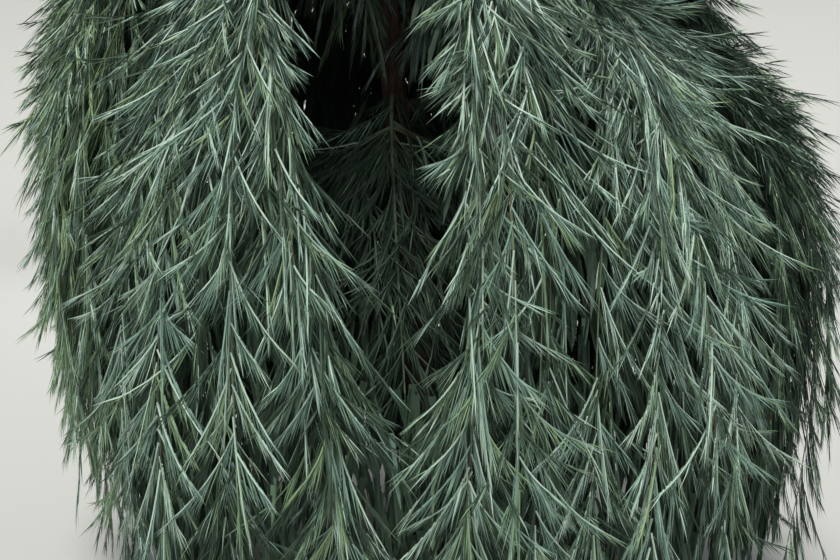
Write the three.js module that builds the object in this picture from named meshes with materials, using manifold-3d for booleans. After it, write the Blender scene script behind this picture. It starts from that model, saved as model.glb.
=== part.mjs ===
// A weeping Lawson cypress, whole, in millimetres, +Z up, with its origin at the middle of the flat
// cut under the trunk at ground level. The viewer of the front stands at -Y.
//
// A whip-like trunk runs up through the crown and nods at its tip. Boughs climb from it, level off
// and end where they enter a curtain of foliage, which arches over and hangs. The curtains hang in
// tiers, like shingles: a long skirt down to the ground, a middle, an upper and a small top tier.
// Two short inner curtains hang in the shade behind the skirt, and a small one from the leader.
// A curtain is a stem, shoots that leave it left and right and turn down, flat toothed sprays on
// the shoots, and a smaller core that the sprays stand out of.

import * as THREE from "three";
import { mergeVertices } from "three/addons/utils/BufferGeometryUtils.js";
import Module from "manifold-3d";

const wasm = await Module();
wasm.setup();

// Trunk
const TRUNK_HEIGHT = 3560; // of the leader before it leans over
const TRUNK_RADIUS = 50;
const TRUNK_TIP_RADIUS = 5;
const TRUNK_SWAY = [50, 12]; // sideways and to the front
const SWAY_BENDS = [3.4, 2.1]; // half turns it makes on its way up
const NOD_START = 0.9; // share of the height where the leader starts to lean over
const NOD_REACH = 270;
const NOD_DROP = 150;
const FLARE_WIDTH = 30;
const FLARE_HEIGHT = 120;
const FLARE_ROOTS = 5;
const ROOT_RELIEF = 0.25; // share of the flare that comes and goes with them
const FOOT_SPARE = 25; // made below the ground and cut off level
const TRUNK_SIDES = 12;
const TRUNK_RINGS = [0.008, 0.022, 0.045, 0.09, 0.2, 0.34, 0.48, 0.62, 0.76, 0.9, 0.94, 0.975];

// Boughs and twigs
const SEAT_GAP = 0.3; // left between a limb and what carries it
const BOUGH_ROOT_SHARE = 0.34; // of the trunk's radius there
const BOUGH_TIP_RADIUS = 8;
const BOUGH_SIDES = 5;
const STEM_RADIUS = 6.5;
const STEM_TIP_RADIUS = 2;
const SHOOT_RADIUS = 4;
const SHOOT_TIP_RADIUS = 1.8;
const TWIG_SIDES = 3;

// Shoots, as shares of the curtain's length and half width
const FIRST_SHOOT = 0.06;
const LAST_SHOOT = 0.6;
const SHOOT_RUN = 0.24;
const LOWEST_SHOOT_TIP = 0.82;
const SHOOT_SPREAD = [0.28, 0.55];
const SPRAY_SEAT = 0.98; // share of a shoot where its spray's root sits

// Curtains
const HEM_LIFT = 55; // how far up a curtain's hem may be shifted
const POINT_SHARES = [0, 0.35, 0.85, 1]; // how fully such changes act on a profile's four points
const STEM_INSET = 46; // how far the stem lies behind the curtain's surface
const SHOOT_TIP_INSET = 10;
const STEM_END = 0.86; // share of the curtain's length where it ends
const FOLD_DEPTH = 75; // how far a curtain's sides lie behind its ridge
const SIDE_SAG = 90; // how far its sides hang below its crest
const WIDENS_FROM = 0.3; // shares of the length where a curtain starts to widen and is full width
const WIDENS_TO = 0.85;
const CORE_INSET = 30;
const CORE_THICKNESS = 32;
const CORE_WIDTH = 0.84; // share of the curtain's width
const CORE_START = 0.1;
const CORE_END = 0.8;
const CORE_COLUMNS = 4;
const CORE_ROWS = 4;
const PLEAT_DEPTH = 16;
const HEM_TOOTH = 0.09; // share of the length that every second column hangs lower
const SPRAY_THICKNESS = 5;
const SPRAY_ROOT_WIDTH = 16;
const SPRAY_SUNK = 24; // length of a spray's root that is sunk past its shoot
const SPRAY_PROUD = 40; // how far its tip stands off the curtain
const SPRAY_SHARE = 0.38; // of its curtain's width at most
const SPRAY_REACH = 0.6; // how far across the curtain its tip may lie
const SPRAY_LEAN = 0.42; // sideways run of a side spray for each length down
const SPRAY_SIZE = [0.85, 1.15];
const SPRAY_TRIES = [1, 0.82, 0.66, 0.5]; // sizes it is made in until it fits
const SPRAY_TEETH = [0.66, 0.6]; // shares of its length where a side tooth ends and starts
const LEADER_REACH = 90; // of the leader's own curtain past the trunk's tip
const LEADER_FALL = 150;
const LEADER_SEED = 251;
const LEADER_SPRAYS = 5;
const LEADER_SPRAY_LENGTH = 200;
const LEADER_SPRAY_WIDTH = 60;
const LEADER_SPRAY_SPREAD = 0.22; // outward run for each length down
const SECTOR_GAP = 4; // kept free on each side of the plane between two curtains
const DOME_GAP = 4; // and of the dome between two tiers
const GROUND_GAP = 20;

// Each tier's curtains follow a curve of four points, given as distance out from the trunk's axis
// and height: the crest where the bough ends, the shoulder and belly that it bends by, and the
// hem. They keep inside the tier's dome and outside the one below it. The skirt is slimmer at its
// hem on the left, and its shoulders are lower on the right, where the middle tier ends higher up.
const INNER = {
  profile: [[170, 1280], [370, 1310], [520, 900], [450, 330]],
  dome: { reach: 640, base: 900, height: 480 },
  foot: 960,
  footStep: 40,
  shoots: 3,
  sprayLength: 340,
  sprayWidth: 160,
};
const SKIRT = {
  profile: [[380, 1800], [800, 1800], [1075, 1150], [870, 90]],
  dome: { reach: 1070, base: 700, height: 1350 },
  foot: 1310,
  footStep: 34,
  shoots: 6,
  sprayLength: 430,
  sprayWidth: 190,
};
const SLIM_SKIRT = {
  ...SKIRT,
  profile: [[380, 1800], [820, 1800], [1090, 1150], [710, 90]],
};
const LOW_SKIRT = {
  ...SKIRT,
  profile: [[360, 1600], [720, 1610], [1110, 1200], [900, 90]],
  foot: 1180,
};
const WIDE_SKIRT = {
  ...SKIRT,
  profile: [[360, 1420], [780, 1440], [1190, 1210], [960, 90]],
  dome: { reach: 1230, base: 700, height: 1000 },
  foot: 1010,
};
const MIDDLE = {
  profile: [[170, 2390], [520, 2430], [840, 2160], [880, 1560]],
  dome: { reach: 960, base: 1600, height: 940 },
  foot: 1960,
  footStep: 30,
  shoots: 4,
  sprayLength: 360,
  sprayWidth: 200,
};
const HIGH_MIDDLE = {
  ...MIDDLE,
  profile: [[170, 2390], [520, 2430], [800, 2200], [820, 1700]],
};
const UPPER = {
  profile: [[75, 3040], [340, 3080], [630, 2820], [700, 2200]],
  dome: { reach: 760, base: 2300, height: 860 },
  foot: 2600,
  footStep: 60,
  shoots: 4,
  sprayLength: 360,
  sprayWidth: 190,
};
const TOP = {
  profile: [[50, 3290], [180, 3330], [290, 3230], [300, 2990]],
  dome: { reach: 420, base: 2900, height: 520 },
  foot: 3090,
  footStep: 15,
  shoots: 3,
  sprayLength: 220,
  sprayWidth: 120,
};

// The curtains. All four angles are bearings in degrees round the trunk, with 0 at the front and 90
// at the right: from and to are the curtain's edges, and its ridge runs from crest to hem. narrow
// is the share of its width that it has at its top, left and right of the ridge, so that a small
// number leaves a dark gap. reach makes it wider or slimmer than its tier.
const CURTAINS = [
  { name: "skirt_far_left", tier: SLIM_SKIRT, from: -68, crest: -54, hem: -57, to: -44, reach: 1, seed: 11 },
  {
    name: "skirt_left",
    tier: SKIRT,
    from: -44,
    crest: -22,
    hem: -18,
    to: 2.6,
    narrow: [0.8, 0.12],
    reach: 1,
    seed: 23,
  },
  { name: "skirt_right_inner", tier: SKIRT, from: 2.6, crest: 10, hem: 14, to: 22, reach: 1, seed: 37 },
  {
    name: "skirt_right_outer",
    tier: LOW_SKIRT,
    from: 22,
    crest: 28,
    hem: 42,
    to: 58,
    narrow: [0.5, 1],
    reach: 1,
    seed: 41,
  },
  { name: "skirt_right_side", tier: WIDE_SKIRT, from: 58, crest: 66, hem: 78, to: 92, reach: 1, seed: 59 },
  { name: "skirt_right_back", tier: SKIRT, from: 92, crest: 108, hem: 111, to: 128, reach: 1.05, seed: 61 },
  { name: "skirt_rear_right", tier: SKIRT, from: 128, crest: 148, hem: 146, to: 165, reach: 1, seed: 73 },
  { name: "skirt_rear", tier: SKIRT, from: 165, crest: 182, hem: 185, to: 203, reach: 1.02, seed: 83 },
  { name: "skirt_rear_left", tier: SKIRT, from: 203, crest: 228, hem: 225, to: 248, reach: 0.98, seed: 89 },
  { name: "skirt_left_side", tier: SLIM_SKIRT, from: 248, crest: 268, hem: 271, to: 292, reach: 1, seed: 97 },
  { name: "middle_front_left", tier: MIDDLE, from: -70, crest: -32, hem: -36, to: 0, reach: 1, seed: 113 },
  { name: "middle_front_right", tier: MIDDLE, from: 0, crest: 34, hem: 37, to: 72, reach: 1.02, seed: 127 },
  { name: "middle_right", tier: HIGH_MIDDLE, from: 72, crest: 106, hem: 110, to: 146, reach: 0.98, seed: 139 },
  { name: "middle_rear", tier: MIDDLE, from: 146, crest: 184, hem: 182, to: 218, reach: 1, seed: 149 },
  { name: "middle_left", tier: MIDDLE, from: 218, crest: 252, hem: 254, to: 290, reach: 1.01, seed: 167 },
  { name: "upper_front", tier: UPPER, from: -56, crest: 3, hem: -4, to: 58, reach: 1, seed: 199 },
  { name: "upper_rear_right", tier: UPPER, from: 58, crest: 116, hem: 120, to: 180, reach: 1.03, seed: 191 },
  { name: "upper_rear_left", tier: UPPER, from: 180, crest: 238, hem: 244, to: 304, reach: 0.98, seed: 211 },
  { name: "top_left", tier: TOP, from: -150, crest: -60, hem: -60, to: 30, reach: 1, seed: 251 },
  { name: "top_right", tier: TOP, from: 30, crest: 120, hem: 120, to: 210, reach: 1, seed: 257 },
  { name: "inner_front", tier: INNER, from: -90, crest: -8, hem: 2, to: 90, reach: 1, seed: 223 },
  { name: "inner_rear", tier: INNER, from: 90, crest: 172, hem: 184, to: 270, reach: 1, seed: 229 },
];
const FULL_WIDTH = [1, 1];
const SHORT_EDGE = 0.05;

const BARK = new THREE.MeshStandardMaterial({ color: 0x5a4436, roughness: 0.95 });
const FOLIAGE = new THREE.MeshStandardMaterial({ color: 0x6f8a7a, roughness: 0.7 });
const SHADED_FOLIAGE = new THREE.MeshStandardMaterial({ color: 0x3f5546, roughness: 0.8 });

const UP = new THREE.Vector3(0, 0, 1);
const HALF = 0.5;
const { degToRad, lerp, smoothstep, clamp } = THREE.MathUtils;

// Numbers from 0 to 1 that are the same on every run.
function seeded(seed) {
  let state = seed * 7919;
  return () => {
    state = (state * 16807) % 2147483647;
    return state / 2147483647;
  };
}

function outward(bearing) {
  return new THREE.Vector3(Math.sin(degToRad(bearing)), -Math.cos(degToRad(bearing)), 0);
}

// The shares of a length at the ends of a number of equal steps.
function evenly(steps) {
  return Array.from({ length: steps + 1 }, (_, i) => i / steps);
}

// A geometry as a closed solid, with its shared vertices merged and its faces pointing out.
function solidOf(geometry) {
  geometry.deleteAttribute("normal");
  geometry.deleteAttribute("uv");
  const merged = mergeVertices(geometry, 1e-3);
  const corners = [];
  for (let i = 0; i < merged.index.count; i += 3) {
    const [a, b, c] = [0, 1, 2].map((k) => merged.index.getX(i + k));
    if (a !== b && b !== c && a !== c) corners.push(a, b, c);
  }
  const vertProperties = merged.attributes.position.array;
  const closed = (triangles) =>
    new wasm.Manifold(
      new wasm.Mesh({ numProp: 3, vertProperties, triVerts: new Uint32Array(triangles) }),
    );
  const solid = closed(corners);
  return solid.volume() > 0 ? solid : closed(corners.reverse());
}

function geometryOf(solid) {
  const mesh = solid.getMesh();
  const places = new Float32Array(mesh.numVert * 3);
  for (let i = 0; i < mesh.numVert; i++) {
    places.set(mesh.vertProperties.subarray(i * mesh.numProp, i * mesh.numProp + 3), i * 3);
  }
  return new THREE.BufferGeometry()
    .setAttribute("position", new THREE.BufferAttribute(places, 3))
    .setIndex(new THREE.BufferAttribute(mesh.triVerts, 1));
}

// The outer body of a join: loose scraps are dropped, sealed hollows are filled, and edges too short
// to show are closed up.
function bodyOf(solid) {
  const bodies = solid.decompose().filter((body) => body.volume() > 0);
  return bodies.sort((a, b) => b.volume() - a.volume())[0].simplify(SHORT_EDGE);
}

// A round tapering limb: a lathed spindle with rings at the given shares of its length, bent along
// path(share), with its radius from radius(share, turn).
function limb(path, radius, sides, rings) {
  const profile = rings.map((share) => new THREE.Vector2(1, share));
  const spindle = [new THREE.Vector2(0, rings[0]), ...profile, new THREE.Vector2(0, rings.at(-1))];
  const geometry = new THREE.LatheGeometry(spindle, sides);
  const place = geometry.attributes.position;
  const nudge = 1e-3;
  for (let i = 0; i < place.count; i++) {
    const share = place.getY(i);
    const turn = Math.atan2(place.getZ(i), place.getX(i));
    const size = Math.hypot(place.getX(i), place.getZ(i)) * radius(share, turn);
    const along = path(share + nudge).sub(path(share - nudge)).normalize();
    const across = new THREE.Vector3(0.31, 1, 0.13).cross(along).normalize();
    const point = path(share).addScaledVector(across, size * Math.cos(turn));
    point.addScaledVector(along.cross(across), size * Math.sin(turn));
    place.setXYZ(i, point.x, point.y, point.z);
  }
  return solidOf(geometry);
}

// Trunk
function trunkCentre(share) {
  const nod = Math.max(0, (share - NOD_START) / (1 - NOD_START));
  return new THREE.Vector3(
    TRUNK_SWAY[0] * Math.sin(SWAY_BENDS[0] * Math.PI * share) + NOD_REACH * nod ** 2,
    TRUNK_SWAY[1] * (Math.cos(SWAY_BENDS[1] * Math.PI * share) - 1),
    TRUNK_HEIGHT * share - NOD_DROP * nod ** 2,
  );
}

function trunkRadius(share) {
  return lerp(TRUNK_RADIUS, TRUNK_TIP_RADIUS, Math.max(0, share) ** 0.9);
}

// The trunk, fatter by a clearance where it is used to cut other limbs. It has more rings over the
// flare and the nod, and its foot is cut level at the ground.
function trunkSolid(clearance) {
  const below = -FOOT_SPARE / TRUNK_HEIGHT;
  const above = 1 + clearance / TRUNK_HEIGHT;
  const rings = [below, ...TRUNK_RINGS, above];
  const radius = (share, turn) => {
    const flare = FLARE_WIDTH * Math.exp(-Math.max(0, share * TRUNK_HEIGHT) / FLARE_HEIGHT);
    const root = lerp(1, Math.cos(FLARE_ROOTS * turn), ROOT_RELIEF);
    return trunkRadius(share) + flare * root + clearance;
  };
  const ground = new THREE.BoxGeometry(600, 600, 100);
  ground.translate(0, 0, -50);
  return limb(trunkCentre, radius, TRUNK_SIDES, rings).subtract(solidOf(ground));
}

// A curtain's own measures, with its tier's varied a little: the curve of its ridge, its length,
// and the random numbers for its twigs.
function measured(curtain) {
  const random = seeded(curtain.seed);
  const lift = HEM_LIFT * random();
  const points = curtain.tier.profile.map(([out, up], i) => {
    const reach = lerp(1, curtain.reach, POINT_SHARES[i]);
    return new THREE.Vector2(out * reach, up + lift * POINT_SHARES[i] ** 3);
  });
  const ridge = new THREE.CubicBezierCurve(...points);
  return { ...curtain, narrow: curtain.narrow ?? FULL_WIDTH, ridge, length: ridge.getLength(), random };
}

// How far the curtain's surface runs to one side of its ridge at t, in degrees.
function halfWidth(curtain, t, side) {
  const ridgeBearing = lerp(curtain.crest, curtain.hem, t);
  const edge = side < 0 ? ridgeBearing - curtain.from : curtain.to - ridgeBearing;
  const narrow = curtain.narrow[side < 0 ? 0 : 1];
  return edge * lerp(narrow, 1, smoothstep(t, WIDENS_FROM, WIDENS_TO));
}

// A place on a curtain. t runs from its crest, 0, to its hem, 1, and across from its left edge, -1,
// to its right edge, 1. inset is how far it lies behind the surface.
function curtainPoint(curtain, t, across, inset) {
  const { x: out, y: up } = curtain.ridge.getPoint(t);
  const way = curtain.ridge.getTangent(t);
  const bearing = lerp(curtain.crest, curtain.hem, t) + across * halfWidth(curtain, t, across);
  const folded = across * across;
  const point = outward(bearing).multiplyScalar(out - FOLD_DEPTH * folded * t + inset * way.y);
  return point.setZ(up - SIDE_SAG * folded * (1 - t) - inset * way.x);
}

// Boughs climb from the trunk and are level where they meet their curtain's stem. One that is
// fatter and longer by a clearance is used to cut that stem.
function boughSolid(curtain, index, clearance) {
  const foot = trunkCentre((curtain.tier.foot + curtain.tier.footStep * ((index * 3) % 7)) / TRUNK_HEIGHT);
  const tip = curtainPoint(curtain, 0, 0, STEM_INSET);
  const length = foot.distanceTo(tip);
  const path = (share) => {
    const run = share * (1 - (SEAT_GAP - clearance) / length);
    const point = foot.clone().lerp(tip, run);
    return point.setZ(lerp(foot.z, tip.z, Math.sin((Math.PI / 2) * Math.min(1, run))));
  };
  const footRadius = BOUGH_ROOT_SHARE * trunkRadius(foot.z / TRUNK_HEIGHT) + 3;
  const radius = (share) =>
    lerp(Math.max(footRadius, BOUGH_TIP_RADIUS), BOUGH_TIP_RADIUS, share) + clearance;
  return limb(path, radius, BOUGH_SIDES, evenly(3));
}

// The stem runs down behind the curtain's ridge from the bough's tip, and comes out at its end.
function stemPlace(share) {
  return { t: STEM_END * share, across: 0, inset: STEM_INSET * (1 - share ** 8) };
}

// A tapering twig along the places on its curtain that place(share) gives.
function twigSolid(curtain, place, root, tip, steps) {
  const path = (share) => {
    const { t, across, inset } = place(share);
    return curtainPoint(curtain, t, across, inset);
  };
  return limb(path, (share) => lerp(root, tip, share), TWIG_SIDES, evenly(steps));
}

// The core, a smaller pleated curtain round the stem.
function coreSolid(curtain) {
  const sheet = new THREE.BoxGeometry(2, 1, 1, CORE_COLUMNS, CORE_ROWS, 1);
  const place = sheet.attributes.position;
  for (let i = 0; i < place.count; i++) {
    const across = CORE_WIDTH * place.getX(i);
    const down = HALF - place.getY(i);
    const pleat = Math.cos((Math.PI / 2) * CORE_COLUMNS * (place.getX(i) + 1));
    const t = lerp(CORE_START, CORE_END + HEM_TOOTH * pleat, down);
    const inset = CORE_INSET + CORE_THICKNESS * (HALF - place.getZ(i)) - PLEAT_DEPTH * pleat * down;
    const point = curtainPoint(curtain, t, across, inset);
    place.setXYZ(i, point.x, point.y, point.z);
  }
  return solidOf(sheet);
}

// Shoots leave the stem one after the other, left and right of it in turn.
function newShoot(random, index, count) {
  const start = lerp(FIRST_SHOOT, LAST_SHOOT, (index + HALF * random()) / count);
  return {
    start,
    end: Math.min(LOWEST_SHOOT_TIP, start + SHOOT_RUN * (1 + HALF * random())),
    side: index % 2 ? 1 : -1,
    spread: lerp(...SHOOT_SPREAD, random()),
  };
}

// A shoot spreads to its side and turns down.
function shootPlace(shoot, share) {
  return {
    t: lerp(shoot.start, shoot.end, share),
    across: shoot.side * shoot.spread * (1 - (1 - share) ** 2),
    inset: lerp(STEM_INSET, SHOOT_TIP_INSET, share * share),
  };
}

// A spray's flat outline, from its root at 0 to its tip: a narrow root, a tooth on each side and a
// longer one between them.
function sprayOutline(length, width) {
  const root = SPRAY_ROOT_WIDTH / 2;
  const right = [
    [root, -SPRAY_SUNK],
    [width / 2, SPRAY_TEETH[0] * length],
    [width / 6, SPRAY_TEETH[1] * length],
  ];
  const left = right.map(([x, y]) => [-x, y]).reverse();
  return new THREE.Shape([...right, [0, length], ...left].map(([x, y]) => new THREE.Vector2(x, y)));
}

// A spray as a flat blade: run goes from its root to its tip, and it looks the way of face.
function bladeGeometry(root, run, face, width) {
  const outline = sprayOutline(run.length(), width);
  const blade = new THREE.ExtrudeGeometry(outline, { depth: SPRAY_THICKNESS, bevelEnabled: false });
  blade.translate(0, 0, -SPRAY_THICKNESS / 2);
  const along = run.clone().normalize();
  const right = along.clone().cross(face).normalize();
  blade.applyMatrix4(new THREE.Matrix4().makeBasis(right, along, right.clone().cross(along)));
  return blade.translate(root.x, root.y, root.z);
}

// A spray from a place on a shoot: it lies along the curtain, with its tip a little proud of it.
function sprayGeometry(curtain, place, lean, length, width) {
  const { t, across, inset } = place;
  const root = curtainPoint(curtain, t, across, inset);
  const sideways = degToRad(halfWidth(curtain, t, lean)) * Math.hypot(root.x, root.y);
  const tipT = Math.min(1, t + length / Math.hypot(1, lean) / curtain.length);
  const tipAcross = clamp(across + (lean * length) / sideways, -SPRAY_REACH, SPRAY_REACH);
  const tip = curtainPoint(curtain, tipT, tipAcross, -SPRAY_PROUD);
  const middle = curtainPoint(curtain, (t + tipT) / 2, (across + tipAcross) / 2, 0);
  const inner = curtainPoint(curtain, (t + tipT) / 2, (across + tipAcross) / 2, 100);
  return bladeGeometry(root, tip.sub(root), middle.sub(inner), width);
}

// The height of a tier's dome at a distance from the axis.
function domeHeight({ reach, base, height }, out) {
  return base + height * Math.sqrt(Math.max(0, 1 - (out / reach) ** 2));
}

const TIER_BELOW = new Map([
  [SKIRT, INNER],
  [SLIM_SKIRT, INNER],
  [LOW_SKIRT, INNER],
  [WIDE_SKIRT, INNER],
  [MIDDLE, SKIRT],
  [HIGH_MIDDLE, SKIRT],
  [UPPER, MIDDLE],
  [TOP, UPPER],
]);

// Whether all of a geometry keeps to its curtain's own space.
function keepsToSpace(geometry, { from, to, tier }) {
  const place = geometry.attributes.position;
  const leftEdge = outward(from + 90);
  const rightEdge = outward(to - 90);
  for (let i = 0; i < place.count; i++) {
    const point = new THREE.Vector3().fromBufferAttribute(place, i);
    const out = Math.hypot(point.x, point.y);
    const roof = domeHeight(tier.dome, out) - DOME_GAP;
    const below = TIER_BELOW.get(tier);
    const floor = below && out < below.dome.reach ? domeHeight(below.dome, out) + DOME_GAP : GROUND_GAP;
    const inSector = point.dot(leftEdge) > SECTOR_GAP && point.dot(rightEdge) > SECTOR_GAP;
    if (!inSector || point.z > roof || point.z < floor) return false;
  }
  return true;
}

// A spray at a place, made smaller until it keeps to the curtain's space, or left out.
function fittedSpray(curtain, place, lean) {
  const { from, to, tier, ridge } = curtain;
  const size = lerp(...SPRAY_SIZE, curtain.random());
  const room = SPRAY_SHARE * degToRad(to - from) * ridge.getPoint(place.t).x;
  for (const share of SPRAY_TRIES) {
    const width = Math.min(tier.sprayWidth, room) * Math.sqrt(share);
    const blade = sprayGeometry(curtain, place, lean, size * share * tier.sprayLength, width);
    if (keepsToSpace(blade, curtain)) return [solidOf(blade)];
  }
  return [];
}

// A whole curtain: its stem, core, shoots and sprays, fused.
function curtainSolid(curtain, boughSeat, limbs) {
  const { random, tier } = curtain;
  const pieces = [coreSolid(curtain)];
  for (let i = 0; i < tier.shoots; i++) {
    const shoot = newShoot(random, i, tier.shoots);
    const place = (share) => shootPlace(shoot, share);
    const lean = shoot.side * SPRAY_LEAN * random();
    pieces.push(twigSolid(curtain, place, SHOOT_RADIUS, SHOOT_TIP_RADIUS, 2));
    pieces.push(...fittedSpray(curtain, place(SPRAY_SEAT), lean));
  }
  const kept = pieces.filter((piece) => piece.intersect(limbs).isEmpty());
  const stem = twigSolid(curtain, stemPlace, STEM_RADIUS, STEM_TIP_RADIUS, 6);
  kept.push(stem.subtract(boughSeat), ...fittedSpray(curtain, stemPlace(SPRAY_SEAT), 0));
  return bodyOf(wasm.Manifold.union(kept));
}

// The leader's own small curtain hangs from the trunk's tip.
function leaderSolid(trunkSeat) {
  const random = seeded(LEADER_SEED);
  const tip = trunkCentre(1);
  const along = tip.clone().sub(trunkCentre(0.99)).normalize();
  const path = (share) => {
    const point = tip.clone().addScaledVector(along, SEAT_GAP + LEADER_REACH * share);
    return point.addScaledVector(UP, -LEADER_FALL * share ** 2);
  };
  const radius = (share) => lerp(TRUNK_TIP_RADIUS - 1, SHOOT_TIP_RADIUS, share);
  const pieces = [limb(path, radius, TWIG_SIDES, evenly(3))];
  for (let i = 0; i < LEADER_SPRAYS; i++) {
    const turn = (360 * i) / LEADER_SPRAYS;
    const fall = outward(turn).multiplyScalar(LEADER_SPRAY_SPREAD).sub(UP).normalize();
    const run = fall.multiplyScalar(LEADER_SPRAY_LENGTH * lerp(0.75, 1, random()));
    const root = path((i + 1) / LEADER_SPRAYS);
    pieces.push(solidOf(bladeGeometry(root, run, outward(turn + 60), LEADER_SPRAY_WIDTH)));
  }
  return bodyOf(wasm.Manifold.union(pieces).subtract(trunkSeat));
}

function node(name, solid, material) {
  const mesh = new THREE.Mesh(geometryOf(solid), material);
  mesh.name = name;
  return mesh;
}

const tree = new THREE.Group();
tree.add(node("trunk", trunkSolid(0), BARK));

const trunkSeat = trunkSolid(SEAT_GAP);
const boughSeats = CURTAINS.map((curtain, index) => boughSolid(measured(curtain), index, SEAT_GAP));
const limbs = wasm.Manifold.union([trunkSeat, ...boughSeats]);

CURTAINS.forEach((curtain, index) => {
  const bough = boughSolid(measured(curtain), index, 0).subtract(trunkSeat);
  const foliage = curtainSolid(measured(curtain), boughSeats[index], limbs);
  tree.add(node(`bough_${curtain.name}`, bodyOf(bough), BARK));
  tree.add(node(curtain.name, foliage, curtain.tier === INNER ? SHADED_FOLIAGE : FOLIAGE));
});
tree.add(node("leader_curtain", leaderSolid(trunkSeat), FOLIAGE));

export default tree;
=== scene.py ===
"""Dresses the frame of a weeping Lawson cypress with bark, twigs and hanging thread-like foliage.

All sizes are in metres, with the origin at the foot of the trunk, +Z up and the front at -Y. The
boughs, stems and curtains follow the same rules as the frame's solids, and the foliage goes on from
them: branches leave the stem of each curtain, sprays leave the branches, and threads leave the sprays.
"""

import math
from typing import NamedTuple

import bpy
import numpy as np
from bpy.props import FloatProperty, FloatVectorProperty, IntProperty, PointerProperty
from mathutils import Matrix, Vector


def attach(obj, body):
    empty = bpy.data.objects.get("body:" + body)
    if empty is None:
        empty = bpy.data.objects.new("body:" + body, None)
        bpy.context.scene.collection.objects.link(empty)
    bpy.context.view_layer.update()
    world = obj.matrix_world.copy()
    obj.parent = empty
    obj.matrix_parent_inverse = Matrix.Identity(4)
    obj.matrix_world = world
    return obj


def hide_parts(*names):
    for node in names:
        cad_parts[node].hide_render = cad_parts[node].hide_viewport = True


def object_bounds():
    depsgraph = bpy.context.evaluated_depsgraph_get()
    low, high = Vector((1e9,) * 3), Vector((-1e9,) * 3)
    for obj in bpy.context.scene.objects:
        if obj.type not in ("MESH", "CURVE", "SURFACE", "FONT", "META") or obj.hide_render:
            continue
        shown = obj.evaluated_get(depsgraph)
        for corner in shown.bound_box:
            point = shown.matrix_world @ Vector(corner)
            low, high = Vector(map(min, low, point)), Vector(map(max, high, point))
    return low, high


bl_info = {
    "name": "Weeping Cypress",
    "version": (1, 0, 0),
    "blender": (4, 5, 0),
    "location": "View3D > Sidebar > Cypress",
    "description": "Bark, twigs and hanging foliage for the frame of a weeping cypress",
    "category": "Add Mesh",
}

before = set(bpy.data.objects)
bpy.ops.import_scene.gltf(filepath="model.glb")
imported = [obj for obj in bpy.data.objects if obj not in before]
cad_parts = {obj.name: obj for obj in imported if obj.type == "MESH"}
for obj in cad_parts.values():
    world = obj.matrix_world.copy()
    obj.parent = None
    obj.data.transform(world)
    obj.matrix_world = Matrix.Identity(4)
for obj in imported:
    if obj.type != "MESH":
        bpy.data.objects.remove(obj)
FRAME_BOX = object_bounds()

# The frame's own random numbers
SEED_FACTOR = 7919
RANDOM_FACTOR = 16807
RANDOM_RANGE = 2147483647

# Trunk
TRUNK_HEIGHT = 3.56
TRUNK_RADIUS = 0.05
TRUNK_TIP_RADIUS = 0.005
TRUNK_TAPER = 0.9  # below 1 it thins sooner
TRUNK_SWAY = (0.05, 0.012)  # to the side, and to the front
SWAY_BENDS = (3.4, 2.1)  # half turns from the ground to the tip
NOD_START = 0.9
NOD_REACH = 0.27
NOD_DROP = 0.15
FOOT_RINGS = (-0.025, 0, 0.03, 0.07, 0.12, 0.18, 0.26, 0.36)  # heights, the first below the cut
SHAFT_RINGS = (0.14, NOD_START, 14)  # first and last as shares of the height, and how many
NOD_RINGS = (0.915, 1, 7)
FLARE_WIDTH = 0.03
FLARE_HEIGHT = 0.12
FLARE_ROOTS = 5
FLARE_VALLEY = 0.5  # share of the flare that is left between two roots
FIRST_ROOT = math.atan2(-0.31, 1)
ROOT_HALF_WIDTH = math.radians(14)
ROOT_HEIGHT = 0.05

# Boughs, stems and branches
BOUGH_RINGS = 9
BOUGH_ROOT_SHARE = 0.34  # of the trunk's radius
BOUGH_ROOT_COLLAR = 0.003
BOUGH_TIP_RADIUS = 0.008
STEM_INSET = 0.046
STEM_END = 0.86
STEM_TUBE = (25, 0.0065, 0.002, 6)  # rings, radius at the root and at the tip, sides
BRANCH_TUBE = (19, 0.0035, 0.001, 4)
SMALLEST_TURN = 1e-4
FURROW_STRETCH = 6  # times as long as wide
SMOOTH_BELOW = math.radians(60)
GREEN_BARK = (0.12, 0.16, 0.1)

# Curtains
HEM_LIFT = 0.055
POINT_SHARES = np.array([0, 0.35, 0.85, 1])  # of a curtain's own reach and lift, at its four points
FOLD_DEPTH = 0.075
SIDE_SAG = 0.09
WIDENS = (0.3, 0.85)  # shares of its height between which a narrow curtain widens

# The dark gap between the two front curtains: heights, and the bearings of its edges there
GAP = (
    (0.48, 3, 3.5),
    (0.58, 1, 5.5),
    (0.7, -1.5, 7.5),
    (0.84, -4.5, 9),
    (1.05, -11, 8),
    (1.31, -17, 5),
    (1.6, -19, 3),
)
OPEN_GAP = GAP[2:]  # the part of it that shows what is behind
GAP_ROUGHNESS = 3  # degrees that its edges come and go by
GAP_MARGIN = 4  # degrees on either side of its open part that have no shaded lining
EDGE_REACH = 3  # degrees that the sprays at its edges may reach into it
MOST_IN_GAP = 0.1  # share of a branch that may pass through it
DRAWN_BACK = 0.95  # share of its width that a branch keeps each time it is drawn back from it
SHORTENED = 0.8  # share of its length that a spray keeps each time it is shortened there
SHORTENINGS = 3
HANG_WEIGHT = 3  # of straight down, in the way of a spray that is turned down

# The hollow between the two curtains on the right, in the same way
HOLLOW = ((0.55, 19, 20.5), (0.75, 16.5, 22.5), (1.05, 16, 21.5), (1.3, 17.5, 19))

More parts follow.
